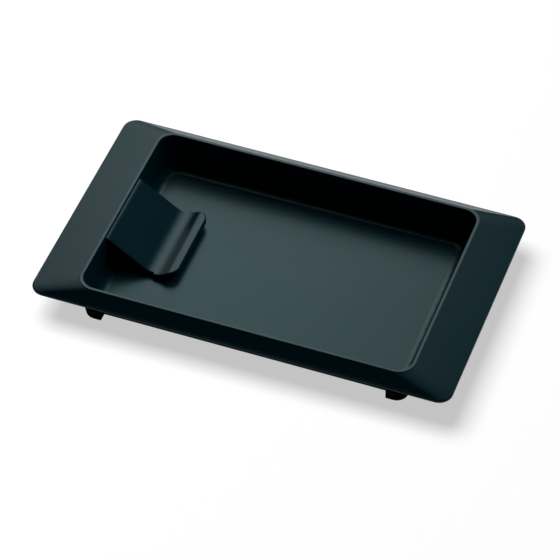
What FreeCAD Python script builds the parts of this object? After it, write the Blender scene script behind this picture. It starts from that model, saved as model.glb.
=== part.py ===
import FreeCAD, Part

import math
import os

import Sketcher
from FreeCAD import Placement, Rotation, Vector

# A bill tray with a sprung clip. The origin is on the table under the middle of the tray, X runs along
# the long side with the clip at -X, Y runs to the back and Z is up.

doc = FreeCAD.newDocument("bill_tray")
sheet = doc.addObject("Spreadsheet::Sheet", "sizes")

SIZES = [
    ("tray_length", 180.0, "outer edge of the rim along X"),
    ("tray_width", 112.0, "outer edge of the rim along Y"),
    ("rim_side", 19.45, "rim at the short sides, from the outer edge to the opening"),
    ("rim_front", 7.35, "rim at the long sides, from the outer edge to the opening"),
    ("rim_corner", 6.0, "corner radius of the outer edge"),
    ("rim_edge_height", 14.2, "underside of the outer edge above the table"),
    ("rim_thickness", 1.6, "sheet of the rim"),
    ("rim_hem", 1.4, "flat band under the outer edge"),
    ("rim_edge_round", 0.6, "rounding of the outer edge"),
    ("ridge_height", 19.4, "top of the lip round the opening"),
    ("lip_width", 1.5, "flat top of the lip"),
    ("lip_rise", 0.3, "step from the slope up to the lip"),
    ("lip_round", 0.5, "rounding of the lip into the pocket"),
    ("lip_edge_round", 0.25, "rounding of the lip's outer edge"),
    ("opening_corner", 6.0, "corner radius of the opening"),
    ("wall_thickness", 1.8, "pocket wall"),
    ("wall_draft", 8.0, "lean of the pocket wall in degrees"),
    ("floor_gap", 1.6, "underside of the floor above the table"),
    ("floor_thickness", 1.6, "pocket floor"),
    ("floor_corner", 9.0, "corner radius of the pocket at the floor"),
    ("floor_round", 5.0, "inner rounding between wall and floor"),
    ("foot_leg", 8.0, "length of a foot along each side"),
    ("foot_top", 5.0, "top edge of a foot above the table"),
    ("foot_corner", 5.0, "corner radius of a foot at the table"),
    ("foot_glue", 0.1, "glue gap between a foot and the pocket"),
    ("foot_round", 0.4, "rounding of the foot at the table"),
    ("hinge_setback", 0.45, "hinge axis outside the opening's edge"),
    ("hinge_drop", 5.0, "hinge axis below the top of the lip"),
    ("pin_radius", 0.7, "hinge pin"),
    ("pin_play", 0.05, "clearance round the pin"),
    ("pin_chamfer", 0.2, "chamfer of the pin's ends"),
    ("clip_width", 38.4, "clip plate and drum along Y"),
    ("finger_wing", 1.2, "how far the trough and free end reach past the plate, each side"),
    ("finger_step", 0.2, "where the wider free end begins, before the trough's middle"),
    ("clip_play", 0.3, "gap beside the clip"),
    ("clip_gap", 0.5, "gap between the trough and the floor"),
    ("plate_thickness", 2.0, "clip plate"),
    ("plate_slope", 34.5, "lean of the clip plate in degrees"),
    ("drum_radius", 3.9, "round root of the clip about the hinge"),
    ("drum_wrap", 92.0, "drum past the vertical, away from the plate, in degrees"),
    ("skin_wrap", 50.0, "the same over the spring, where the drum is cut back for its legs"),
    ("drum_play", 0.25, "gap between the drum and the tray"),
    ("barrel_radius", 2.2, "barrel of the clip round the pin"),
    ("trough_radius", 8.0, "top surface of the trough"),
    ("finger_slope", 33.0, "lean of the rise in degrees"),
    ("finger_run", 0.8, "straight rise from the trough"),
    ("finger_radius", 4.2, "bend from the rise to the flared end"),
    ("flare_slope", 6.0, "lean of the flared end in degrees"),
    ("flare_run", 2.8, "straight stretch of the flared end"),
    ("finger_corner", 5.8, "corner radius of the free end in plan"),
    ("finger_edge_round", 0.8, "rounded upper edge of the trough and the free end"),
    ("clip_edge_round", 0.3, "rounding of the plate's upper edges"),
    ("tail_reach", 7.0, "tail of the clip behind the hinge axis"),
    ("tail_top", 1.6, "tail's top above the hinge axis"),
    ("tail_under", 0.2, "tail's underside above the hinge axis"),
    ("tail_width", 6.5, "tail along Y"),
    ("tail_shift", 5.25, "middle of the tail from the middle along -Y"),
    ("recess_radius", 2.9, "spring recess about the hinge"),
    ("recess_width", 11.0, "spring recess along Y"),
    ("bearing_length", 4.8, "bearing block along Y"),
    ("bearing_reach", 2.6, "bearing block beyond the hinge axis"),
    ("wire_diameter", 0.8, "spring wire"),
    ("coil_radius", 1.6, "middle of the wire in the coil"),
    ("coil_pitch", 1.25, "step of the coil per turn"),
    ("coil_turns", 6.0, "whole turns of the coil"),
    ("leg_reach", 6.0, "spring legs behind the hinge axis"),
    ("leg_play", 0.05, "gap between a leg's end and what it presses on"),
    ("cover_thickness", 1.4, "hinge cover"),
    ("cover_top", 9.4, "inside of the cover above the table"),
    ("cover_play", 0.4, "gap round the cover"),
    ("cover_corner", 2.0, "corner radius of the cover"),
    ("horn_foot", 3.0, "foot of a horn on the cover, along X"),
    ("horn_play", 0.3, "gap round a horn that holds the pin up"),
    ("post_radius", 2.6, "screw post"),
    ("post_gap", 0.25, "gap between a screw post and the cover's end wall"),
    ("post_depth", 5.6, "pilot hole"),
    ("screw_radius", 1.1, "screw shank"),
    ("screw_play", 0.05, "gap round the screw in its post"),
    ("screw_length", 6.2, "screw shank under its head"),
    ("head_radius", 2.3, "screw head"),
    ("head_height", 1.3, "screw head"),
    ("head_round", 0.5, "rounding of the screw head"),
    ("cross_length", 2.6, "cross recess of the screw"),
    ("cross_width", 0.6, "cross recess of the screw"),
    ("cross_depth", 0.8, "cross recess of the screw"),
    ("overrun", 2.0, "how far a cut runs past what it cuts"),
]
FOLLOWING = [
    ("opening_length", "=tray_length - 2 * rim_side", "pocket opening along X"),
    ("opening_width", "=tray_width - 2 * rim_front", "pocket opening along Y"),
]
for row, (alias, content, note) in enumerate(SIZES + FOLLOWING, start=1):
    sheet.set("A%d" % row, alias)
    sheet.set("B%d" % row, str(content))
    sheet.setAlias("B%d" % row, alias)
    sheet.set("C%d" % row, note)
doc.recompute()

# Places that follow from the sizes, as expressions that the objects are bound to
S = "sizes."
FLOOR_TOP = "(sizes.floor_gap + sizes.floor_thickness)"
SKIN_TOP = "(sizes.ridge_height - sizes.lip_rise)"
SKIN_UNDER = "(sizes.ridge_height - sizes.lip_rise - sizes.rim_thickness)"
HINGE_X = "(-sizes.opening_length / 2 - sizes.hinge_setback)"
HINGE_Z = "(sizes.ridge_height - sizes.hinge_drop)"
WINDOW = "(sizes.clip_width + 2 * sizes.clip_play)"
FINGER_WIDTH = "(sizes.clip_width + 2 * sizes.finger_wing)"
BEARING_SPAN = "(sizes.clip_width + 2 * sizes.clip_play + 2 * sizes.bearing_length)"
PIN_LENGTH = "(sizes.clip_width + 2 * sizes.clip_play + 2 * sizes.bearing_length + sizes.clip_play)"
SLOT_END = "(%s / 2 + sizes.clip_play)" % PIN_LENGTH
RIM_RUN = "((sizes.tray_length - sizes.opening_length) / 2 - sizes.lip_width)"
POST_X = "(-sizes.opening_length / 2 - sizes.lip_width - %s / 2)" % RIM_RUN
POST_TOP = "((sizes.rim_edge_height + sizes.ridge_height - sizes.lip_rise) / 2)"
COVER_LEFT = "(%s - sizes.post_radius - sizes.cover_play - sizes.cover_thickness)" % POST_X
COVER_HALF = "(%s / 2 + sizes.cover_play + sizes.cover_thickness)" % PIN_LENGTH
COVER_UNDER = "(sizes.cover_top - sizes.cover_thickness)"
POST_Y = "(%s - sizes.cover_thickness - sizes.post_gap - sizes.post_radius)" % COVER_HALF

TROUGH_Z = "(%s + sizes.clip_gap + sizes.plate_thickness + sizes.trough_radius)" % FLOOR_TOP
LOW_Z = "(%s - sizes.trough_radius * cos(sizes.plate_slope))" % TROUGH_Z
TROUGH_X = ("(%s + (sizes.drum_radius + sizes.trough_radius) * sin(sizes.plate_slope) + (%s"
            " + sizes.drum_radius * cos(sizes.plate_slope) - %s) / tan(sizes.plate_slope))" % (
                HINGE_X, HINGE_Z, LOW_Z))
TOE_X = ("(%s + (sizes.trough_radius + sizes.finger_radius) * sin(sizes.finger_slope)"
         " + sizes.finger_run * cos(sizes.finger_slope)"
         " + (sizes.plate_thickness - sizes.finger_radius) * sin(sizes.flare_slope)"
         " + sizes.flare_run * cos(sizes.flare_slope))" % TROUGH_X)
STEP_X = "(%s - sizes.finger_step)" % TROUGH_X


def at_depth(opening, height, outwards="0"):
    """Size of the pocket at a height, for an opening's length or width, grown by a wall each side."""
    return "(%s + 2 * (%s) - 2 * tan(sizes.wall_draft) * (sizes.ridge_height - (%s)))" % (
        S + opening, outwards, height)


WALL_AT_RIM = "((%s) / 2)" % at_depth("opening_length", "sizes.rim_edge_height", "sizes.wall_thickness")
COVER_RIGHT = "(-sizes.opening_length / 2 - sizes.wall_thickness + sizes.cover_play)"


def number(expression):
    """What an expression comes to, as a plain number."""
    result = sheet.evalExpression(expression.replace("sizes.", ""))
    return float(getattr(result, "Value", result))


def point(x, y):
    return Vector(x, y, 0)


# Bodies, sketches and features

def new_body(label):
    body = doc.addObject("PartDesign::Body", label)
    body.Label = label
    return body


def new_sketch(body, name, role, offset="0"):
    sketch = body.newObject("Sketcher::SketchObject", name)
    plane = next(f for f in body.Origin.OriginFeatures if f.Role == role)
    sketch.AttachmentSupport = [(plane, "")]
    sketch.MapMode = "FlatFace"
    sketch.setExpression("AttachmentOffset.Base.z", offset)
    return sketch


def bind(sketch, kind, places, expression):
    """A sized constraint that follows an expression."""
    index = sketch.addConstraint(Sketcher.Constraint(kind, *places, number_for(kind, expression)))
    factor = " * 1 deg" if kind == "Angle" else ""
    sketch.setExpression("Constraints[%d]" % index, "(%s)%s" % (expression, factor))


def number_for(kind, expression):
    return math.radians(number(expression)) if kind == "Angle" else number(expression)


def tie(sketch, kind, *places):
    sketch.addConstraint(Sketcher.Constraint(kind, *places))


def rounded_rectangle(sketch, length, width, corner):
    """Rectangle with round corners, centred on the sketch's origin."""
    a, b, r = number(length) / 2, number(width) / 2, number(corner)
    ends = [(point(r - a, -b), point(a - r, -b)), (point(a, r - b), point(a, b - r)),
            (point(a - r, b), point(r - a, b)), (point(-a, b - r), point(-a, r - b))]
    for start, end in ends:
        sketch.addGeometry(Part.LineSegment(start, end))
    centres = [point(a - r, r - b), point(a - r, b - r), point(r - a, b - r), point(r - a, r - b)]
    up = Vector(0, 0, 1)
    for turn, centre in enumerate(centres):
        first = math.radians(270 + 90 * turn)
        sketch.addGeometry(Part.ArcOfCircle(Part.Circle(centre, up, r), first, first + math.pi / 2))
    for side in range(4):
        tie(sketch, "Tangent", side, 2, 4 + side, 1)
        tie(sketch, "Tangent", 4 + side, 2, (side + 1) % 4, 1)
    for side, way in enumerate(("Horizontal", "Vertical", "Horizontal", "Vertical")):
        tie(sketch, way, side)
    for corner_arc in (5, 6, 7):
        tie(sketch, "Equal", 4, corner_arc)
    tie(sketch, "Symmetric", 0, 1, 2, 1, -1, 1)
    bind(sketch, "DistanceX", (3, 1, 1, 1), length)
    bind(sketch, "DistanceY", (0, 1, 2, 1), width)
    bind(sketch, "Radius", (4,), corner)


def rectangle(sketch, left, right, bottom, top):
    """Rectangle between four places in the sketch."""
    x0, x1, y0, y1 = (number(e) for e in (left, right, bottom, top))
    corners = [point(x0, y0), point(x1, y0), point(x1, y1), point(x0, y1)]
    first = sketch.GeometryCount
    for turn in range(4):
        sketch.addGeometry(Part.LineSegment(corners[turn], corners[(turn + 1) % 4]))
    for turn in range(4):
        tie(sketch, "Coincident", first + turn, 2, first + (turn + 1) % 4, 1)
    for side, way in enumerate(("Horizontal", "Vertical", "Horizontal", "Vertical")):
        tie(sketch, way, first + side)
    bind(sketch, "DistanceX", (-1, 1, first, 1), left)
    bind(sketch, "DistanceX", (-1, 1, first, 2), right)
    bind(sketch, "DistanceY", (-1, 1, first, 1), bottom)
    bind(sketch, "DistanceY", (-1, 1, first + 2, 1), top)


def twin_rectangles(sketch, left, right, near, far):
    """The same rectangle on both sides of the X axis."""
    rectangle(sketch, left, right, near, far)
    rectangle(sketch, left, right, "-(%s)" % far, "-(%s)" % near)


def circle(sketch, x, y, radius):
    """Circle whose centre is at two bound distances from the sketch's origin."""
    index = sketch.addGeometry(Part.Circle(point(number(x), number(y)), Vector(0, 0, 1), number(radius)))
    place(sketch, (index, 3), x, y)
    bind(sketch, "Radius", (index,), radius)


def place(sketch, spot, x, y):
    """A vertex of the sketch at two bound places."""
    for kind, where in (("DistanceX", x), ("DistanceY", y)):
        bind(sketch, kind, (-1, 1) + spot, where)


def feature(body, kind, name, sketch, length=None, middle=False, reverse=False):
    """Pad or pocket of a sketch: bound length, both ways from the sketch or one."""
    made = body.newObject("PartDesign::" + kind, name)
    made.Profile = sketch
    if length is None:
        made.Type = "ThroughAll"
    else:
        made.setExpression("Length", length)
    made.SideType = "Symmetric" if middle else "One side"
    made.Reversed = reverse
    sketch.Visibility = False
    return made


def loft(body, kind, name, sketches):
    made = body.newObject("PartDesign::" + kind, name)
    made.Profile = sketches[0]
    made.Sections = sketches[1:]
    made.Ruled = True
    return made


def rounded(body, name, edges, radius, kind="Fillet", prop="Radius"):
    """Fillet or chamfer on the edges of the body's last feature that a test picks."""
    doc.recompute()
    base = body.Tip
    picked = ["Edge%d" % i for i, edge in enumerate(base.Shape.Edges, start=1) if edges(edge)]
    if not picked:
        raise ValueError("%s: no edge to round" % name)
    made = body.newObject("PartDesign::" + kind, name)
    made.Base = (base, picked)
    made.setExpression(prop, radius)
    return made


NEAR = 0.01
PROBE = 0.1


def flat_at(height):
    """Test for edges that lie level at a height."""
    level = number(height)
    return lambda edge: all(abs(v.Z - level) < NEAR for v in edge.Vertexes) and abs(
        edge.CenterOfMass.z - level) < NEAR


# The pocket, as the solid that its walls and floor would fill

def pocket_solid(body, kind, name, bottom, top, outwards):
    """Tapered box with round corners between two heights, grown outwards from the pocket's inside."""
    levels = []
    for place_name, height, corner in (("low", bottom, "floor_corner"), ("high", top, "opening_corner")):
        sketch = new_sketch(body, "%s_%s" % (name, place_name), "XY_Plane", height)
        rounded_rectangle(sketch, at_depth("opening_length", height, outwards),
                          at_depth("opening_width", height, outwards),
                          "(%s + %s)" % (S + corner, outwards))
        levels.append(sketch)
    return loft(body, kind, name, levels[::-1])


def pocket_form(label, bottom, top, outwards):
    """The pocket's solid with its bottom edge rounded, as a body of its own."""
    body = new_body(label)
    pocket_solid(body, "AdditiveLoft", label + "_block", bottom, top, outwards)
    rounded(body, label + "_round", flat_at(bottom), "sizes.floor_round + %s" % outwards)
    return body


def tray_shell():
    body = new_body("tray_shell")
    edge = new_sketch(body, "rim_edge", "XY_Plane", "sizes.rim_edge_height")
    rounded_rectangle(edge, "sizes.tray_length", "sizes.tray_width", "sizes.rim_corner")
    feature(body, "Pad", "rim_band", edge, "sizes.rim_thickness")
    band_edges = [flat_at("sizes.rim_edge_height"), flat_at("sizes.rim_edge_height + sizes.rim_thickness")]
    rounded(body, "rim_edge_rounds", lambda edge: any(test(edge) for test in band_edges),
            "sizes.rim_edge_round")

    foot_of_slope = new_sketch(body, "slope_low", "XY_Plane", "sizes.rim_edge_height + sizes.rim_thickness")
    rounded_rectangle(foot_of_slope, "sizes.tray_length - 2 * sizes.rim_edge_round",
                      "sizes.tray_width - 2 * sizes.rim_edge_round", "sizes.rim_corner - sizes.rim_edge_round")
    lip_outline = ("sizes.opening_length + 2 * sizes.lip_width", "sizes.opening_width + 2 * sizes.lip_width",
                   "sizes.opening_corner + sizes.lip_width")
    head_of_slope = new_sketch(body, "slope_high", "XY_Plane", SKIN_TOP)
    rounded_rectangle(head_of_slope, *lip_outline)
    loft(body, "AdditiveLoft", "rim_slope", [foot_of_slope, head_of_slope])

    lip = new_sketch(body, "lip_outline", "XY_Plane", SKIN_UNDER)
    rounded_rectangle(lip, *lip_outline)
    feature(body, "Pad", "lip", lip, "sizes.rim_thickness + sizes.lip_rise")

    hollow_low = new_sketch(body, "hollow_low", "XY_Plane", "sizes.rim_edge_height")
    rounded_rectangle(hollow_low, "sizes.tray_length - 2 * sizes.rim_hem",
                      "sizes.tray_width - 2 * sizes.rim_hem", "sizes.rim_corner - sizes.rim_hem")
    hollow_high = new_sketch(body, "hollow_high", "XY_Plane", SKIN_UNDER)
    rounded_rectangle(hollow_high, *lip_outline)
    loft(body, "SubtractiveLoft", "rim_hollow", [hollow_low, hollow_high])

    pocket_solid(body, "AdditiveLoft", "pocket_outside", "sizes.floor_gap", SKIN_UNDER,
                 "sizes.wall_thickness")
    rounded(body, "outer_floor_round", flat_at("sizes.floor_gap"),
            "sizes.floor_round + sizes.wall_thickness")

    bearing = new_sketch(body, "bearing_outline", "XZ_Plane")
    rectangle(bearing, "%s - sizes.bearing_reach" % HINGE_X, "%s" % HINGE_X,
              "%s - sizes.bearing_reach" % HINGE_Z, "%s - sizes.rim_thickness / 2" % SKIN_TOP)
    feature(body, "Pad", "bearings", bearing, BEARING_SPAN, middle=True)

    posts = new_sketch(body, "post_outlines", "XY_Plane", "sizes.cover_top")
    for side in ("", "-"):
        circle(posts, POST_X, side + POST_Y, "sizes.post_radius")
    feature(body, "Pad", "screw_posts", posts, "%s - sizes.cover_top" % POST_TOP)

    inside = pocket_form("pocket_inside", FLOOR_TOP, "sizes.ridge_height + sizes.overrun", "0")
    hollow = body.newObject("PartDesign::Boolean", "pocket_hollow")
    hollow.Type = "Cut"
    hollow.setObjects([inside])
    lip_top, inside_y = flat_at("sizes.ridge_height"), number("sizes.opening_width") / 2 + NEAR
    inside_x = number("sizes.opening_length") / 2 + NEAR

    def opening_edge(edge):
        return lip_top(edge) and all(abs(v.X) < inside_x and abs(v.Y) < inside_y for v in edge.Vertexes)

    rounded(body, "lip_round_in", opening_edge, "sizes.lip_round")
    rounded(body, "lip_round_out", lambda e: lip_top(e) and not all(
        abs(v.X) < inside_x and abs(v.Y) < inside_y for v in e.Vertexes), "sizes.lip_edge_round")
    window = new_sketch(body, "window_outline", "XZ_Plane")
    circle(window, HINGE_X, HINGE_Z, "sizes.drum_radius + sizes.drum_play")
    feature(body, "Pocket", "clip_window", window, WINDOW, middle=True)
    bore = new_sketch(body, "saddle_outline", "XZ_Plane")
    circle(bore, HINGE_X, HINGE_Z, "sizes.pin_radius + sizes.pin_play")
    feature(body, "Pocket", "pin_saddles", bore, "2 * %s" % SLOT_END, middle=True)
    slots = new_sketch(body, "slot_outlines", "XY_Plane", "sizes.floor_gap")
    twin_rectangles(slots, "%s - sizes.pin_radius - sizes.pin_play" % HINGE_X,
                    "%s + sizes.pin_radius + sizes.pin_play" % HINGE_X, "%s / 2" % WINDOW, SLOT_END)
    feature(body, "Pocket", "pin_slots", slots, "%s - sizes.floor_gap" % HINGE_Z, reverse=True)
    pilots = new_sketch(body, "pilot_outlines", "XY_Plane", "sizes.cover_top")
    for side in ("", "-"):
        circle(pilots, POST_X, side + POST_Y, "sizes.screw_radius + sizes.screw_play")
    feature(body, "Pocket", "pilot_holes", pilots, "sizes.post_depth", reverse=True)
    return body


def clip_profile(sketch):
    """Bent plate of the clip: plate, trough, rise and flared end."""
    hx, hz, drum = number(HINGE_X), number(HINGE_Z), number("sizes.drum_radius")
    slope, rise, flare = (math.radians(number("sizes." + a)) for a in (
        "plate_slope", "finger_slope", "flare_slope"))
    thick, trough = number("sizes.plate_thickness"), number("sizes.trough_radius")
    bend = number("sizes.finger_radius")

    def way(angle):
        return point(math.cos(angle), math.sin(angle))

    quarter = math.pi / 2
    start = point(hx, hz) + way(quarter - slope) * drum
    trough_centre = point(number(TROUGH_X), number(TROUGH_Z))
    low = trough_centre + way(3 * quarter - slope) * trough
    foot = trough_centre + way(3 * quarter + rise) * trough
    head = foot + way(rise) * number("sizes.finger_run")
    bend_centre = head - way(quarter + rise) * bend
    crown = bend_centre + way(quarter + flare) * bend
    nose = crown + way(flare) * number("sizes.flare_run")
    toe = nose - way(quarter + flare) * thick
    z_axis = Vector(0, 0, 1)

    def arc(centre, radius, first, last):
        return Part.ArcOfCircle(Part.Circle(centre, z_axis, radius), first, last)

    back = start - way(quarter - slope) * thick
    shapes = [
        Part.LineSegment(start, low),
        arc(trough_centre, trough, 3 * quarter - slope, 3 * quarter + rise),
        Part.LineSegment(foot, head),
        arc(bend_centre, bend, quarter + flare, quarter + rise),
        Part.LineSegment(crown, nose),
        Part.LineSegment(nose, toe),
        Part.LineSegment(toe, bend_centre + way(quarter + flare) * (bend - thick)),
        arc(bend_centre, bend - thick, quarter + flare, quarter + rise),
        Part.LineSegment(bend_centre + way(quarter + rise) * (bend - thick),
                         trough_centre + way(3 * quarter + rise) * (trough + thick)),
        arc(trough_centre, trough + thick, 3 * quarter - slope, 3 * quarter + rise),
        Part.LineSegment(trough_centre + way(3 * quarter - slope) * (trough + thick), back),
        Part.LineSegment(back, start),
    ]
    for shape in shapes:
        sketch.addGeometry(shape)
    smooth = [(0, 2, 1, 1), (1, 2, 2, 1), (2, 2, 3, 2), (3, 1, 4, 1),
              (6, 2, 7, 1), (7, 2, 8, 1), (8, 2, 9, 2), (9, 1, 10, 1)]
    corners = [(4, 2, 5, 1), (5, 2, 6, 1), (10, 2, 11, 1), (11, 2, 0, 1), (1, 3, 9, 3), (3, 3, 7, 3)]
    for joint in smooth:
        tie(sketch, "Tangent", *joint)
    for joint in corners:
        tie(sketch, "Coincident", *joint)
    for pair in ((0, 10), (2, 8), (4, 6)):
        tie(sketch, "Parallel", *pair)
    tie(sketch, "Perpendicular", 5, 4)
    tie(sketch, "Perpendicular", 11, 0)
    bind(sketch, "Radius", (1,), "sizes.trough_radius")
    bind(sketch, "Radius", (9,), "sizes.trough_radius + sizes.plate_thickness")
    bind(sketch, "Radius", (3,), "sizes.finger_radius")
    bind(sketch, "Angle", (-1, 1, 0, 1), "-sizes.plate_slope")
    bind(sketch, "Angle", (-1, 1, 2, 1), "sizes.finger_slope")
    bind(sketch, "Angle", (-1, 1, 4, 1), "sizes.flare_slope")
    bind(sketch, "Distance", (2,), "sizes.finger_run")
    bind(sketch, "Distance", (4,), "sizes.flare_run")
    place(sketch, (0, 1), "%s + sizes.drum_radius * sin(sizes.plate_slope)" % HINGE_X,
          "%s + sizes.drum_radius * cos(sizes.plate_slope)" % HINGE_Z)
    bind(sketch, "DistanceY", (-1, 1, 1, 3), TROUGH_Z)


def pie_slice(sketch, radius, first, sweep):
    """Slice of a disc about the hinge axis, from one angle and through a sweep."""
    middle = point(number(HINGE_X), number(HINGE_Z))
    size, start = number(radius), math.radians(number(first))
    angles = (start, start + math.radians(number(sweep)))
    ends = [middle + point(size * math.cos(a), size * math.sin(a)) for a in angles]
    sketch.addGeometry(Part.ArcOfCircle(Part.Circle(middle, Vector(0, 0, 1), size), *angles))
    sketch.addGeometry(Part.LineSegment(ends[1], middle))
    sketch.addGeometry(Part.LineSegment(middle, ends[0]))
    tie(sketch, "Coincident", 0, 2, 1, 1)
    tie(sketch, "Coincident", 1, 2, 2, 1)
    tie(sketch, "Coincident", 2, 2, 0, 1)
    tie(sketch, "Coincident", 0, 3, 1, 2)
    place(sketch, (0, 3), HINGE_X, HINGE_Z)
    bind(sketch, "Radius", (0,), radius)
    bind(sketch, "Angle", (-1, 1, 2, 1), first)
    bind(sketch, "Angle", (2, 1, 1, 2), sweep)


def clip_lever():
    body = new_body("clip_lever")
    profile = new_sketch(body, "plate_outline", "XZ_Plane")
    clip_profile(profile)
    feature(body, "Pad", "bent_plate", profile, FINGER_WIDTH, middle=True)

    drum = new_sketch(body, "drum_outline", "XZ_Plane")
    pie_slice(drum, "sizes.drum_radius", "90 - sizes.plate_slope", "sizes.drum_wrap + sizes.plate_slope")
    feature(body, "Pad", "drum", drum, "sizes.clip_width", middle=True)

    barrel = new_sketch(body, "barrel_outline", "XZ_Plane")
    circle(barrel, HINGE_X, HINGE_Z, "sizes.barrel_radius")
    feature(body, "Pad", "barrel", barrel, "sizes.clip_width", middle=True)

    recess = new_sketch(body, "recess_outline", "XZ_Plane")
    circle(recess, HINGE_X, HINGE_Z, "sizes.recess_radius")
    feature(body, "Pocket", "spring_recess", recess, "sizes.recess_width", middle=True)
    cutback = new_sketch(body, "cutback_outline", "XZ_Plane")
    pie_slice(cutback, "sizes.drum_radius + sizes.overrun", "90 + sizes.skin_wrap",
              "sizes.drum_wrap - sizes.skin_wrap + sizes.plate_slope")
    feature(body, "Pocket", "skin_cutback", cutback, "sizes.recess_width", middle=True)

    tail = new_sketch(body, "tail_outline", "XZ_Plane", "sizes.tail_shift")
    rectangle(tail, "%s - sizes.tail_reach" % HINGE_X,
              "%s - (sizes.barrel_radius + sizes.drum_radius) / 2" % HINGE_X,
              "%s + sizes.tail_under" % HINGE_Z, "%s + sizes.tail_top" % HINGE_Z)
    feature(body, "Pad", "tail", tail, "sizes.tail_width", middle=True)
    bore = new_sketch(body, "bore_outline", "XZ_Plane")
    circle(bore, HINGE_X, HINGE_Z, "sizes.pin_radius + sizes.pin_play")
    feature(body, "Pocket", "pin_bore", bore, "sizes.clip_width + 2 * sizes.overrun", middle=True)

    plan = new_body("clip_plan")
    finger = new_sketch(plan, "finger_outline", "XY_Plane")
    reach = "2 * (%s - %s)" % (TOE_X, STEP_X)
    finger.setExpression("AttachmentOffset.Base.x", "%s - %s / 2" % (TOE_X, reach))
    rounded_rectangle(finger, reach, FINGER_WIDTH, "sizes.finger_corner")
    feature(plan, "Pad", "finger_block", finger, "sizes.ridge_height + sizes.overrun")
    behind = new_sketch(plan, "behind_outline", "XY_Plane")
    rectangle(behind, "2 * %s - %s - sizes.overrun" % (STEP_X, TOE_X), STEP_X,
              "-(%s / 2 + sizes.overrun)" % FINGER_WIDTH, "%s / 2 + sizes.overrun" % FINGER_WIDTH)
    feature(plan, "Pocket", "finger_step_cut", behind, reverse=True)
    plate = new_sketch(plan, "plate_plan", "XY_Plane")
    rectangle(plate, "%s - sizes.tail_reach - sizes.overrun" % HINGE_X, "%s + sizes.finger_step" % STEP_X,
              "-sizes.clip_width / 2", "sizes.clip_width / 2")
    feature(plan, "Pad", "plate_block", plate, "sizes.ridge_height + sizes.overrun")
    trim = body.newObject("PartDesign::Boolean", "round_corners")
    trim.Type = "Common"
    trim.setObjects([plan])

    plate_from = number(HINGE_X) + number("sizes.drum_radius * sin(sizes.plate_slope)") - NEAR
    step_x, toe_x = number(STEP_X) - NEAR, number(TOE_X)
    finger_y, plate_y = number(FINGER_WIDTH) / 2 - NEAR, number("sizes.clip_width") / 2 - NEAR
    corner = number("sizes.finger_corner")
    centre_x, centre_y = toe_x - corner, finger_y - corner

    def spots(edge):
        span = edge.LastParameter - edge.FirstParameter
        return [edge.valueAt(edge.FirstParameter + share * span) for share in (0, 0.5, 1)]

    def outer(spot):
        """Whether a spot lies on the free end's outline in plan."""
        if spot.x > centre_x and abs(spot.y) > centre_y:
            return math.hypot(spot.x - centre_x, abs(spot.y) - centre_y) > corner - 2 * NEAR
        return abs(spot.y) > finger_y or spot.x > toe_x - number("sizes.plate_thickness") / 2

    def upright(edge):
        first, _, last = spots(edge)
        return math.hypot(first.x - last.x, first.y - last.y) < abs(first.z - last.z) / 2

    def solid_at(edge, side):
        """Whether the clip is solid just above (1) or just below (-1) an edge and a little inwards."""
        middle, shift = spots(edge)[1], side * number("sizes.plate_thickness") / 4
        inner = Vector(middle.x - PROBE, middle.y * (1 - 2 * NEAR), middle.z + shift)
        return body.Tip.Shape.isInside(inner, NEAR, False)

    def upper(edge):
        return solid_at(edge, -1) and not solid_at(edge, 1)

    def finger_edge(edge):
        return all(spot.x > step_x and outer(spot) for spot in spots(edge)) and not upright(edge)

    def plate_edge(edge):
        return spots(edge)[1].x < step_x and all(
            spot.x > plate_from and plate_y < abs(spot.y) < finger_y for spot in spots(edge))

    rounded(body, "finger_rounding", lambda edge: finger_edge(edge) and upper(edge),
            "sizes.finger_edge_round")
    rounded(body, "plate_rounding", lambda edge: plate_edge(edge) and upper(edge), "sizes.clip_edge_round")
    return body


def hinge_pin():
    body = new_body("hinge_pin")
    outline = new_sketch(body, "pin_outline", "XZ_Plane")
    circle(outline, HINGE_X, HINGE_Z, "sizes.pin_radius")
    feature(body, "Pad", "pin", outline, PIN_LENGTH, middle=True)
    rounded(body, "pin_ends", lambda e: isinstance(e.Curve, Part.Circle), "sizes.pin_chamfer",
            "Chamfer", "Size")
    return body


def biarc(p0, t0, p1, t1):
    """Two tangent arcs from p0 along t0 to p1 along t1."""
    v, t = p1 - p0, t0 + t1
    bend = 2 * (1 - t0.dot(t1))
    reach = (-v.dot(t) + math.sqrt(v.dot(t) ** 2 + bend * v.dot(v))) / bend
    middle = (p0 + p1 + (t0 - t1) * reach) / 2

    def arc(start, tangent, end):
        chord = end - start
        side = chord - tangent * chord.dot(tangent)
        if side.Length < NEAR * chord.Length:
            return Part.LineSegment(start, end).toShape()
        side.normalize()
        radius = chord.dot(chord) / (2 * chord.dot(side))
        centre = start + side * radius
        outwards = (start + end) / 2 - centre
        outwards.normalize()
        return Part.Arc(start, centre + outwards * radius, end).toShape()

    back = arc(p1, t1 * -1, middle)
    back.reverse()
    return [arc(p0, t0, middle), back]


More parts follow.
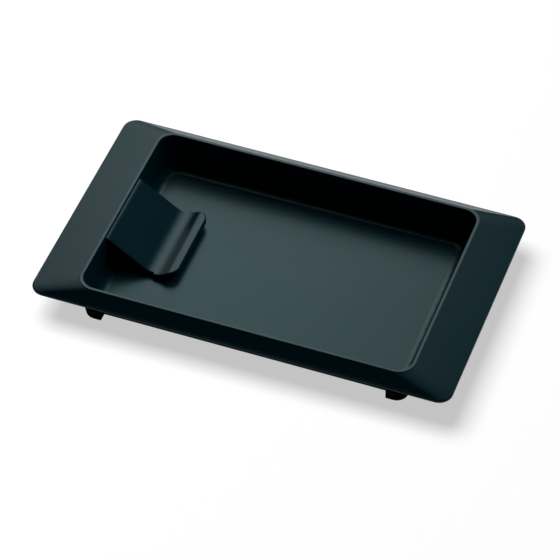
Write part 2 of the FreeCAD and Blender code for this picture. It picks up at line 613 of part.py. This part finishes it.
def clip_spring():
    """Torsion spring round the pin: a coil, a leg under the clip's tail and a leg on the cover."""
    wire, mean = number("sizes.wire_diameter"), number("sizes.coil_radius")
    pitch, turns = number("sizes.coil_pitch"), int(number("sizes.coil_turns"))
    reach, play = number("sizes.leg_reach"), number("sizes.leg_play")
    axis = Vector(number(HINGE_X), 0, number(HINGE_Z))
    tail_end = (-reach, number("sizes.tail_under") - play - wire / 2)
    cover_end = (-reach, number("sizes.cover_top") - number(HINGE_Z) + play + wire / 2)

    def on_coil(angle, y):
        return axis + Vector(mean * math.cos(angle), y, mean * math.sin(angle))

    def touch(end, side):
        """Angle on the coil where a straight leg to that end touches it."""
        far = math.hypot(*end)
        return math.atan2(end[1], end[0]) + side * math.acos(mean / far)

    start_angle = touch(tail_end, 1)
    end_angle = touch(cover_end, -1)
    sweep = (end_angle - start_angle) % (2 * math.pi) + 2 * math.pi * turns
    length = pitch * sweep / (2 * math.pi)
    quarters = max(4, round(sweep / (math.pi / 2)))
    climb = length / sweep
    knots = []
    for index in range(quarters + 1):
        share = index / quarters
        angle = start_angle + sweep * share
        tangent = Vector(-mean * math.sin(angle), 0 if index in (0, quarters) else climb,
                         mean * math.cos(angle))
        tangent.normalize()
        knots.append((on_coil(angle, length * (share - 0.5)), tangent))
    edges = []
    leg_in = axis + Vector(tail_end[0], -length / 2, tail_end[1])
    leg_out = axis + Vector(cover_end[0], length / 2, cover_end[1])
    edges.append(Part.LineSegment(leg_in, knots[0][0]).toShape())
    for (p0, t0), (p1, t1) in zip(knots, knots[1:]):
        edges += biarc(p0, t0, p1, t1)
    edges.append(Part.LineSegment(knots[-1][0], leg_out).toShape())
    path = Part.Wire(edges)
    ring = Part.Wire(Part.Circle(leg_in, knots[0][0] - leg_in, wire / 2).toShape())
    solid = path.makePipeShell([ring], True, False)
    made = doc.addObject("Part::Feature", "clip_spring")
    made.Label = "clip_spring"
    made.Shape = solid
    made.Placement = Placement()
    expected = math.pi * (wire / 2) ** 2 * path.Length
    print("spring: length %.2f, volume %.3f of %.3f, least gap %.3f" % (
        path.Length, solid.Volume, expected, pitch - wire))
    return made


def hinge_cover():
    body = new_body("hinge_cover")
    floor = new_sketch(body, "floor_outline", "XY_Plane", COVER_UNDER)
    rectangle(floor, COVER_LEFT, COVER_RIGHT, "-%s" % COVER_HALF, COVER_HALF)
    feature(body, "Pad", "cover_box", floor, "sizes.rim_edge_height - %s" % COVER_UNDER)
    left = number(COVER_LEFT)
    rounded(body, "cover_corners", lambda e: all(abs(v.X - left) < NEAR for v in e.Vertexes) and abs(
        e.Vertexes[0].Y - e.Vertexes[-1].Y) < NEAR, "sizes.cover_corner")
    inside = new_sketch(body, "inside_outline", "XY_Plane", "sizes.cover_top")
    rectangle(inside, "%s + sizes.cover_thickness" % COVER_LEFT, "%s + sizes.overrun" % COVER_RIGHT,
              "-%s + sizes.cover_thickness" % COVER_HALF, "%s - sizes.cover_thickness" % COVER_HALF)
    feature(body, "Pocket", "cover_inside", inside, reverse=True)
    horn_right = "%s + sizes.pin_radius - sizes.pin_play" % HINGE_X
    horn_sides = ("%s / 2 + sizes.horn_play" % WINDOW, "%s / 2 - sizes.horn_play" % BEARING_SPAN)
    feet = new_sketch(body, "horn_foot_outlines", "XY_Plane", "sizes.cover_top")
    twin_rectangles(feet, "%s - sizes.horn_foot" % horn_right, horn_right, *horn_sides)
    feature(body, "Pad", "horn_feet", feet,
            "%s - sizes.bearing_reach - sizes.horn_play - sizes.cover_top" % HINGE_Z)
    horns = new_sketch(body, "horn_outlines", "XY_Plane", "sizes.cover_top")
    twin_rectangles(horns, "%s - sizes.pin_radius + sizes.pin_play" % HINGE_X, horn_right, *horn_sides)
    feature(body, "Pad", "horns", horns, "%s - sizes.pin_radius - sizes.pin_play - sizes.cover_top" % HINGE_Z)
    holes = new_sketch(body, "hole_outlines", "XY_Plane", COVER_UNDER)
    for side in ("", "-"):
        circle(holes, POST_X, side + POST_Y, "sizes.screw_radius + sizes.clip_play")
    feature(body, "Pocket", "screw_holes", holes, "sizes.cover_thickness", reverse=True)
    return body


def cover_screws():
    """Two pan-head screws, put in from below, as one group."""
    body = new_body("cover_screw")
    head = new_sketch(body, "head_outline", "XY_Plane", "%s - sizes.head_height" % COVER_UNDER)
    circle(head, POST_X, POST_Y, "sizes.head_radius")
    feature(body, "Pad", "head", head, "sizes.head_height")
    rounded(body, "head_rounding", flat_at("%s - sizes.head_height" % COVER_UNDER), "sizes.head_round")
    shank = new_sketch(body, "shank_outline", "XY_Plane", COVER_UNDER)
    circle(shank, POST_X, POST_Y, "sizes.screw_radius")
    feature(body, "Pad", "shank", shank, "sizes.screw_length")
    rounded(body, "screw_tip", flat_at("%s + sizes.screw_length" % COVER_UNDER),
            "sizes.screw_radius / 2", "Chamfer", "Size")
    for name, along, across in (("cross_x", "cross_length", "cross_width"),
                                ("cross_y", "cross_width", "cross_length")):
        slot = new_sketch(body, name + "_outline", "XY_Plane", "%s - sizes.head_height" % COVER_UNDER)
        rectangle(slot, "%s - sizes.%s / 2" % (POST_X, along), "%s + sizes.%s / 2" % (POST_X, along),
                  "%s - sizes.%s / 2" % (POST_Y, across), "%s + sizes.%s / 2" % (POST_Y, across))
        feature(body, "Pocket", name, slot, "sizes.cross_depth", reverse=True)
    twin = mirrored("cover_screw_twin", body, Vector(0, 1, 0))
    group = doc.addObject("Part::Compound", "cover_screws")
    group.Label = "cover_screws"
    group.Links = [body, twin]
    return group


def mirrored(label, source, normal):
    made = doc.addObject("Part::Mirroring", label)
    made.Label = label
    made.Source = source
    made.Normal = normal
    made.Base = Vector(0, 0, 0)
    return made


def feet():
    """Four corner feet that carry the pocket's outer walls down to the table."""
    form = pocket_form("foot_seat", "sizes.floor_gap - sizes.foot_glue", SKIN_UNDER,
                       "(sizes.wall_thickness + sizes.foot_glue)")

    block = new_body("foot_block")
    levels = []
    for name, height in (("foot_low", "0"), ("foot_high", "sizes.foot_top")):
        sketch = new_sketch(block, name, "XY_Plane", height)
        rounded_rectangle(sketch, at_depth("opening_length", height, "sizes.wall_thickness"),
                          at_depth("opening_width", height, "sizes.wall_thickness"), "sizes.foot_corner")
        levels.append(sketch)
    loft(block, "AdditiveLoft", "foot_ring", levels[::-1])
    rounded(block, "foot_rounding", flat_at("0"), "sizes.foot_round")
    half_length = "((%s) / 2)" % at_depth("opening_length", "0", "sizes.wall_thickness")
    half_width = "((%s) / 2)" % at_depth("opening_width", "0", "sizes.wall_thickness")
    reach = "(sizes.wall_thickness + sizes.overrun + sizes.foot_leg)"
    keep = new_body("foot_corner_block")
    square = new_sketch(keep, "corner_outline", "XY_Plane")
    rectangle(square, "-%s - sizes.overrun" % half_length, "-%s + sizes.foot_leg" % half_length,
              "-%s - sizes.overrun" % half_width, "-%s + sizes.foot_leg" % half_width)
    feature(keep, "Pad", "corner_block", square, "sizes.foot_top")

    corner = doc.addObject("Part::Common", "foot_corner")
    corner.Base, corner.Tool = block, keep
    foot = doc.addObject("Part::Cut", "front_left_foot")
    foot.Label = "front_left_foot"
    foot.Base, foot.Tool = corner, form
    right = mirrored("front_right_foot", foot, Vector(1, 0, 0))
    rear = [mirrored("rear_left_foot", foot, Vector(0, 1, 0)),
            mirrored("rear_right_foot", right, Vector(0, 1, 0))]
    return [foot, right] + rear


nodes = [tray_shell(), clip_lever(), hinge_pin(), clip_spring(), hinge_cover(), cover_screws()] + feet()
doc.recompute()

for item in doc.Objects:
    if "Invalid" in item.State or "Error" in item.State:
        raise RuntimeError("%s failed: %s" % (item.Label, item.State))
for node in nodes:
    if node.Shape.isNull() or not node.Shape.isValid() or not node.Shape.Solids:
        raise RuntimeError("%s has no valid solid" % node.Label)

os.makedirs("parts", exist_ok=True)
for node in nodes:
    node.Shape.exportStep("parts/%s.step" % node.Label)
    box = node.Shape.BoundBox
    print("%-18s solids %d volume %9.2f  x %7.2f..%7.2f y %7.2f..%7.2f z %6.2f..%6.2f" % (
        node.Label, len(node.Shape.Solids), node.Shape.Volume, box.XMin, box.XMax, box.YMin, box.YMax,
        box.ZMin, box.ZMax))
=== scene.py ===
import math

import bmesh
import bpy
from mathutils import Matrix, Vector


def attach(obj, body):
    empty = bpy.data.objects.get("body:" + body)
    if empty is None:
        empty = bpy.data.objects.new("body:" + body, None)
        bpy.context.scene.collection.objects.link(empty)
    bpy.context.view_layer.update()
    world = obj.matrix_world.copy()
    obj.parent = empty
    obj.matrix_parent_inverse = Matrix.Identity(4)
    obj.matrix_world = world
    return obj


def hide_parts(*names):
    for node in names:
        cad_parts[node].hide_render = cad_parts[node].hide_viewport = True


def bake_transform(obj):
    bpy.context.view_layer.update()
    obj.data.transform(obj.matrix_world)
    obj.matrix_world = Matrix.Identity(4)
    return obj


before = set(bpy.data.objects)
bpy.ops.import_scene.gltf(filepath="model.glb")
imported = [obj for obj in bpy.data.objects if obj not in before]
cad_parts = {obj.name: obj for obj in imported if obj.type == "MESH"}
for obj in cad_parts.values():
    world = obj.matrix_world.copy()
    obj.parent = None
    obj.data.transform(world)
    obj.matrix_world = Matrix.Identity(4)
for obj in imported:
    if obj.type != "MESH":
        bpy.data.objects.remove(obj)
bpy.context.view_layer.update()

# A black moulded bill tray with a sprung clip, dressed over its CAD frame. Lengths are in metres.

MM = 0.001
MERGE_DISTANCE = 2e-6

# Heights between which the plastic turns from its own colour to the lip's lighter one, a painted
# highlight
LIP_HIGHLIGHT_RISE = (19.2 * MM, 19.35 * MM)
# Depths of the grain
FINE_GRAIN = 0.00001
RUBBER_GRAIN = 0.00003

# The floor lies a little below the feet, so that their undersides don't share its plane
FLOOR_GAP = 0.02 * MM
FLOOR_HALF = 3.0
# What the camera sees of it
FLOOR_SEEN = (0.5, 0.5, 0.5)
FLOOR_GLOW = 0.547
# What all else sees of it: a darker colour in front of the tray, which is a painted shadow, one
# behind, and Y where they meet
FLOOR_PAINTED_SHADOW = (0.34, 0.34, 0.34)
FLOOR_BACK = (0.94, 0.94, 0.94)
FLOOR_SHADOW_TURN = (-60 * MM, 0)

# Heights on the unit sphere between which the mirrored backdrop turns from white to dark
HORIZON = (-0.05, 0.0)


# Objects and their places

def in_scene(name, data):
    """A new object of the scene that shows the data."""
    made = bpy.data.objects.new(name, data)
    bpy.context.scene.collection.objects.link(made)
    return made


def linked(name, bm):
    """The bmesh as an object of the scene."""
    mesh = bpy.data.meshes.new(name)
    bm.to_mesh(mesh)
    bm.free()
    return in_scene(name, mesh)


def square(name, half, placement):
    """A flat square, given by half its side, as an object of the scene."""
    bm = bmesh.new()
    bmesh.ops.create_grid(bm, x_segments=1, y_segments=1, size=half, matrix=placement)
    return linked(name, bm)


def direction(azimuth, elevation):
    """Unit vector to an azimuth, counted from +Y towards -X, and an elevation."""
    a, e = math.radians(azimuth), math.radians(elevation)
    return Vector((-math.sin(a) * math.cos(e), math.cos(a) * math.cos(e), math.sin(e)))


def facing(way, centre):
    """Placement at a centre, with +Z along a way."""
    return Matrix.Translation(centre) @ way.to_track_quat("Z", "Y").to_matrix().to_4x4()


# Shader maths

class Signal:
    """A socket with arithmetic: an expression adds its Math nodes."""

    def __init__(self, paint, socket):
        self.paint = paint
        self.socket = socket

    def _math(self, operation, *terms):
        return self.paint.node("ShaderNodeMath", {"operation": operation}, dict(enumerate(terms)))

    def __add__(self, other):
        return self._math("ADD", self, other)

    __radd__ = __add__

    def __sub__(self, other):
        return self._math("SUBTRACT", self, other)

    def __mul__(self, other):
        return self._math("MULTIPLY", self, other)

    def smallest(self, other):
        return self._math("MINIMUM", self, other)

    def smooth(self, low, high, start=0.0, end=1.0):
        """Smooth step from low to high, given as start to end."""
        return self.paint.node("ShaderNodeMapRange", {"interpolation_type": "SMOOTHSTEP"},
                               {0: self, 1: low, 2: high, 3: start, 4: end})


class Paint:
    """The nodes of a material or of the world."""

    def __init__(self, owner):
        owner.use_nodes = True
        self.tree = owner.node_tree
        self.tree.nodes.clear()

    def node(self, kind, settings=None, values=None, output=0):
        """A node of a type, its settings first, then the values or links of its sockets.

        A socket is given by its name, or by its number where several have one name.
        """
        made = self.tree.nodes.new(kind)
        for key, value in (settings or {}).items():
            setattr(made, key, value)
        for key, value in (values or {}).items():
            socket = made.inputs[key]
            if isinstance(value, Signal):
                self.tree.links.new(value.socket, socket)
            else:
                socket.default_value = value
        return Signal(self, made.outputs[output]) if made.outputs else made

    def place(self):
        """Object coordinates."""
        return self.node("ShaderNodeTexCoord", output="Object")

    def along(self, axis, where=None):
        """X, Y or Z of a vector, or else of the object coordinates."""
        where = where or self.place()
        return self.node("ShaderNodeSeparateXYZ", {}, {"Vector": where}, output=axis)

    def ray(self, kind):
        """1 to rays of one kind and 0 to all others."""
        return self.node("ShaderNodeLightPath", output=kind)

    def noise(self, scale, detail, roughness, stretch=(1, 1, 1), turn=(0, 0, 0)):
        """Noise on the piece's own place, scale in features per metre."""
        where = self.node("ShaderNodeMapping", {}, {
            "Vector": self.place(), "Rotation": turn, "Scale": stretch})
        return self.node("ShaderNodeTexNoise", {}, {
            "Vector": where, "Scale": scale, "Detail": detail, "Roughness": roughness})

    def mix_colour(self, share, first, second):
        """From the first colour to the second as the share goes from 0 to 1."""
        first, second = (colour if isinstance(colour, Signal) else (*colour, 1)
                         for colour in (first, second))
        return self.node("ShaderNodeMix", {"data_type": "RGBA"},
                         {0: share, 6: first, 7: second}, output=2)

    def bump(self, height, strength, depth):
        return self.node("ShaderNodeBump", {}, {
            "Strength": strength, "Distance": depth, "Height": height})

    def principled(self, values):
        return self.node("ShaderNodeBsdfPrincipled", {}, values)

    def surface(self, shader, output="ShaderNodeOutputMaterial"):
        self.node(output, {}, {"Surface": shader})


def new_paint(name):
    """A material and its nodes."""
    material = bpy.data.materials.new(name)
    return material, Paint(material)


# Materials

def satin_plastic(name, deep, pale, roughness, tint, grain, lip_highlight=None):
    """Moulded plastic: a fine even grain, a soft sheen and faint marks of wiping.

    The lip, which stands above the slope, can take a lighter colour, a painted highlight.
    """
    material, paint = new_paint(name)
    cloud = paint.noise(scale=38, detail=3, roughness=0.55)
    wiped = paint.noise(scale=70, detail=4, roughness=0.6,
                        stretch=(0.25, 1.6, 1), turn=(0, 0, 0.35))
    fine = paint.noise(scale=2600, detail=2, roughness=0.6)
    colour = paint.mix_colour(cloud.smooth(0.3, 0.75), deep, pale)
    # painted highlight: the lip, above a height, takes a lighter colour
    if lip_highlight:
        colour = paint.mix_colour(paint.along("Z").smooth(*LIP_HIGHLIGHT_RISE), colour, lip_highlight)
    paint.surface(paint.principled({
        "Base Color": colour,
        "Roughness": roughness + (cloud - 0.5) * 0.05 + (wiped - 0.5) * 0.05,
        "Specular Tint": (*tint, 1),
        "Normal": paint.bump(fine, strength=grain, depth=FINE_GRAIN)}))
    return material


def drawn_steel(name, colour, roughness, stretch, dulled=0.72):
    """Steel wire or plated steel: fine drawing lines and a slightly uneven plate."""
    material, paint = new_paint(name)
    lines = paint.noise(scale=1600, detail=2, roughness=0.5, stretch=stretch)
    cloud = paint.noise(scale=240, detail=3, roughness=0.6)
    dull = tuple(part * dulled for part in colour)
    paint.surface(paint.principled({
        "Base Color": paint.mix_colour(cloud.smooth(0.35, 0.7), colour, dull),
        "Metallic": 1.0,
        "Roughness": roughness + (lines - 0.5) * 0.18 + (cloud - 0.5) * 0.12,
        "Normal": paint.bump(lines, strength=0.25, depth=FINE_GRAIN)}))
    return material


def soft_rubber(name, deep, pale, roughness):
    """Matt black rubber with a fine grain and a trace of dust."""
    material, paint = new_paint(name)
    grain = paint.noise(scale=1900, detail=3, roughness=0.65)
    dust = paint.noise(scale=160, detail=4, roughness=0.6)
    paint.surface(paint.principled({
        "Base Color": paint.mix_colour(dust.smooth(0.45, 0.8), deep, pale),
        "Roughness": roughness + (grain - 0.5) * 0.2,
        "Normal": paint.bump(grain, strength=0.4, depth=RUBBER_GRAIN)}))
    return material


# Camera, floor and light

def camera_at(target, azimuth, elevation, roll, distance, lens):
    """Camera that looks at a target from an azimuth and an elevation.

    The azimuth is counted from -Y towards +X.
    """
    a, e, r = (math.radians(angle) for angle in (azimuth, elevation, roll))
    back = Vector((math.sin(a) * math.cos(e), -math.cos(a) * math.cos(e), math.sin(e)))
    right = Vector((math.cos(a), math.sin(a), 0))
    up = back.cross(right)
    across = right * math.cos(r) + up * math.sin(r)
    upwards = up * math.cos(r) - right * math.sin(r)
    camera = in_scene("studio_camera", bpy.data.cameras.new("studio_camera"))
    camera.data.lens = lens
    camera.data.sensor_width = 36
    camera.data.clip_start = 0.05
    camera.data.clip_end = 20
    turn = Matrix((across, upwards, back)).transposed().to_4x4()
    camera.matrix_world = Matrix.Translation(Vector(target) + back * distance) @ turn
    bpy.context.scene.camera = camera


def soft_light(name, way, distance, size, power, floor, reach):
    """Square soft box that points at the tray from one way, and that nothing glossy mirrors.

    It lights the floor alone (reach INCLUDE), or all but the floor (reach EXCLUDE).
    """
    lamp = bpy.data.lights.new(name, "AREA")
    lamp.shape = "SQUARE"
    lamp.size = size
    lamp.energy = power
    light = in_scene(name, lamp)
    light.matrix_world = facing(way, way * distance)
    light.visible_glossy = False
    lit = bpy.data.collections.new(name + "_reach")
    lit.objects.link(floor)
    lit.collection_objects[0].light_linking.link_state = reach
    light.light_linking.receiver_collection = lit


def glow_panel(name, aim, way, distance, radius, strength):
    """Large soft box that only glossy surfaces mirror, brightest in its middle."""
    centre = aim + way * distance
    panel = square(name, radius, facing(way, centre))
    material, paint = new_paint(name)
    away = paint.node("ShaderNodeVectorMath", {"operation": "DISTANCE"},
                      {0: paint.place(), 1: tuple(centre)}, output="Value")
    paint.surface(paint.node("ShaderNodeEmission", {}, {
        "Strength": away.smooth(0, radius, strength, 0)}))
    panel.data.materials.append(material)
    panel.visible_camera = False
    panel.visible_diffuse = False
    panel.visible_transmission = False
    panel.visible_shadow = False


def table_top():
    """Plain floor under the tray. To the camera it is white and keeps the tray's shadow.

    Light that falls on it and what mirrors it find it darker in front of the tray than behind: a
    painted shadow.
    """
    floor = square("table_top", FLOOR_HALF, Matrix.Translation((0, 0, -FLOOR_GAP)))
    material, paint = new_paint("pale_table")
    seen = paint.ray("Is Camera Ray")
    # painted shadow: all but camera rays find the floor darker in front of the tray
    floor_with_painted_shadow = paint.mix_colour(paint.along("Y").smooth(*FLOOR_SHADOW_TURN), FLOOR_PAINTED_SHADOW, FLOOR_BACK)
    shade = paint.mix_colour(seen, floor_with_painted_shadow, FLOOR_SEEN)
    paint.surface(paint.node("ShaderNodeAddShader", {}, {
        0: paint.node("ShaderNodeBsdfDiffuse", {}, {"Color": shade}),
        1: paint.node("ShaderNodeEmission", {}, {"Strength": seen * FLOOR_GLOW})}))
    floor.data.materials.append(material)
    return floor


def studio():
    """White backdrop. What is glossy mirrors it below the horizon, and a dark room above it."""
    world = bpy.data.worlds.new("studio")
    bpy.context.scene.world = world
    paint = Paint(world)
    way = paint.node("ShaderNodeTexCoord", output="Generated")
    below = paint.along("Z", way).smooth(*HORIZON, 1, 0)
    strength = paint.ray("Is Camera Ray") + paint.ray("Is Glossy Ray") * below
    paint.surface(paint.node("ShaderNodeBackground", {}, {
        "Color": (1, 1, 1, 1), "Strength": strength.smallest(1)}), "ShaderNodeOutputWorld")


# Making pieces

def soften(bm, crease):
    """Smooth faces, with sharp edges where they meet at more than an angle in degrees."""
    for face in bm.faces:
        face.smooth = True
    for edge in bm.edges:
        edge.smooth = len(edge.link_faces) == 2 and edge.calc_face_angle() < math.radians(crease)


def smooth_copy(name, node, body, material, crease=32):
    """A merged and smoothly shaded copy of a CAD node, which it stands for.

    It rides the body, if one is given.
    """
    bm = bmesh.new()
    bm.from_mesh(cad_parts[node].data)
    bmesh.ops.remove_doubles(bm, verts=bm.verts, dist=MERGE_DISTANCE)
    soften(bm, crease)
    piece = linked(name, bm)
    piece.data.materials.clear()
    piece.data.materials.append(material)
    even = piece.modifiers.new("even_normals", "WEIGHTED_NORMAL")
    even.keep_sharp = True
    if body:
        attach(piece, body)
    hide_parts(node)
    return piece


# The last colour of the black plastic, on its lip, is a painted highlight.
BLACK = satin_plastic(
    "black_satin_plastic", deep=(0.0001, 0.0096, 0.0140), pale=(0.0002, 0.0108, 0.0156),
    roughness=0.30, tint=(0.60, 1.0, 1.06), grain=0.1, lip_highlight=(0.0140, 0.0250, 0.0300))
COVER = satin_plastic(
    "black_cover_plastic", deep=(0.004, 0.005, 0.006), pale=(0.008, 0.009, 0.010),
    roughness=0.5, tint=(0.85, 1.0, 1.0), grain=0.4)
RUBBER = soft_rubber(
    "black_rubber", deep=(0.002, 0.002, 0.002), pale=(0.005, 0.005, 0.005), roughness=0.62)
WIRE = drawn_steel(
    "drawn_steel_wire", colour=(0.62, 0.62, 0.63), roughness=0.3, stretch=(1, 0.05, 1))
SCREW = drawn_steel(
    "zinc_plated_steel", colour=(0.5, 0.51, 0.53), roughness=0.36, stretch=(1, 1, 0.2))

smooth_copy("tray_moulding", "tray_shell", "tray", BLACK)
smooth_copy("clip_moulding", "clip_lever", "clip", BLACK)
smooth_copy("hinge_wire", "hinge_pin", "tray", WIRE)
spring = smooth_copy("spring_wire", "clip_spring", None, WIRE)
smooth_copy("underside_cover", "hinge_cover", "tray", COVER)
smooth_copy("pan_head_screws", "cover_screws", "tray", SCREW)
for corner in ("front_left", "front_right", "rear_left", "rear_right"):
    smooth_copy(corner + "_pad", corner + "_foot", "tray", RUBBER)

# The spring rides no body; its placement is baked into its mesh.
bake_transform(spring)

floor = table_top()
soft_light("floor_light", direction(78, 69), distance=2.6, size=1.7, power=75,
           floor=floor, reach="INCLUDE")
glow_panel("mirrored_soft_box", Vector((-20 * MM, 0, 10 * MM)), direction(23.2, 41.7),
           distance=0.545, radius=0.42, strength=1.88)
soft_light("tray_light", direction(-15, 40), distance=1.8, size=2.6, power=66,
           floor=floor, reach="EXCLUDE")
studio()
camera_at((3.881 * MM, -12.849 * MM, 14.2 * MM), azimuth=18.557, elevation=45.155, roll=1.494,
          distance=1.33372, lens=208.86)

bpy.context.scene.view_settings.view_transform = "Standard"
